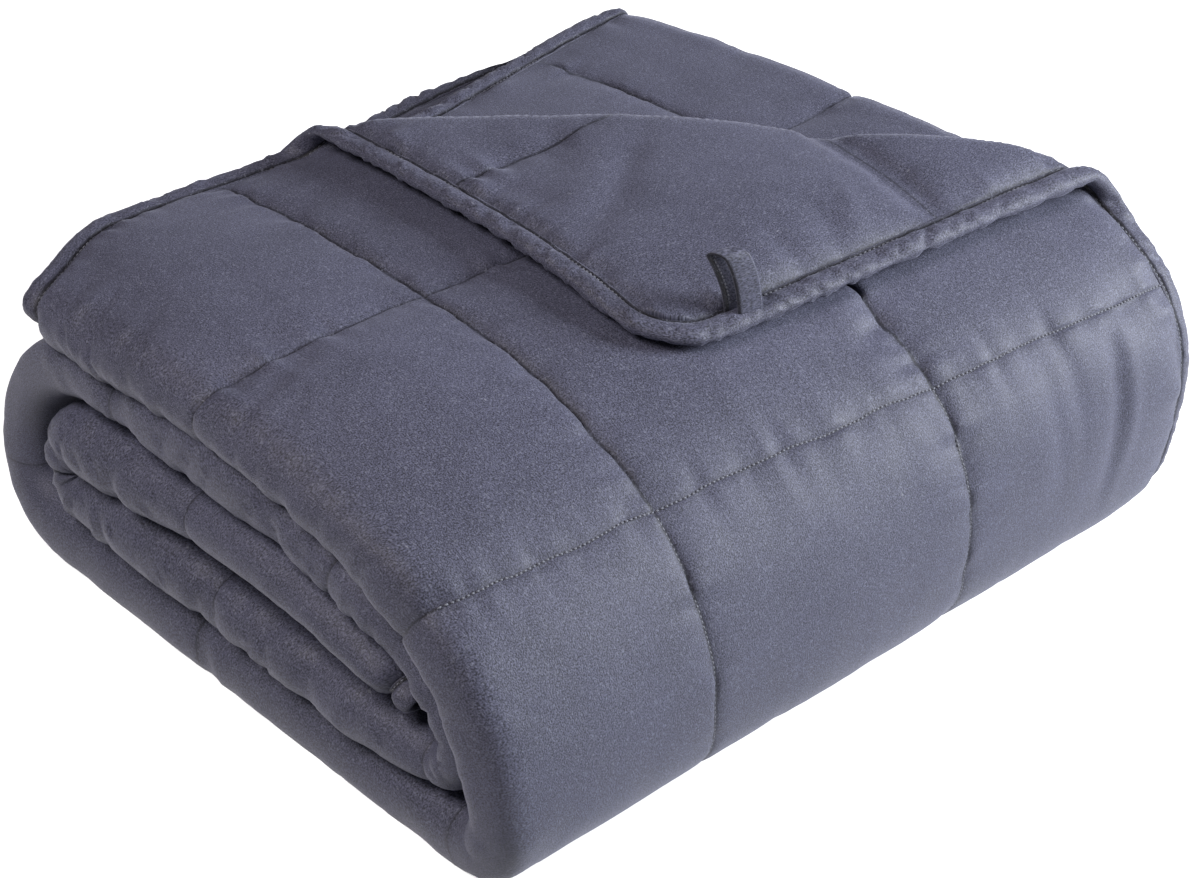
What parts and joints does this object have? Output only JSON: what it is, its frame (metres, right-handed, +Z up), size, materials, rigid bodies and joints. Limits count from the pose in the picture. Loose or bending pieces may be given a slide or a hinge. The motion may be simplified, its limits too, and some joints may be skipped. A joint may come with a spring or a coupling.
{
  "type": "weighted blanket",
  "caption": "Quilted weighted blanket with bound edges, folded in three, rolled into a bundle and lying with one corner turned back to show its tie loop.",
  "frame": {"origin": "the middle of the bundle's footprint, on the surface that it lies on", "axes": "+X along the rolled bundle's length, +Y from its front wrap to its back, +Z up"},
  "size_m": [0.4386, 0.3792, 0.1864],
  "materials": {
    "quilt_cloth": "brushed matt grey cloth with quilted squares",
    "binding_cloth": "the same brushed grey cloth, folded and stitched round the edge",
    "loop_tape": "grey woven tape"
  },
  "bodies": {
    "root": {"quilted_body": "quilt_cloth", "edge_binding": "binding_cloth", "tie_loop": "loop_tape"}
  },
  "joints": []
}
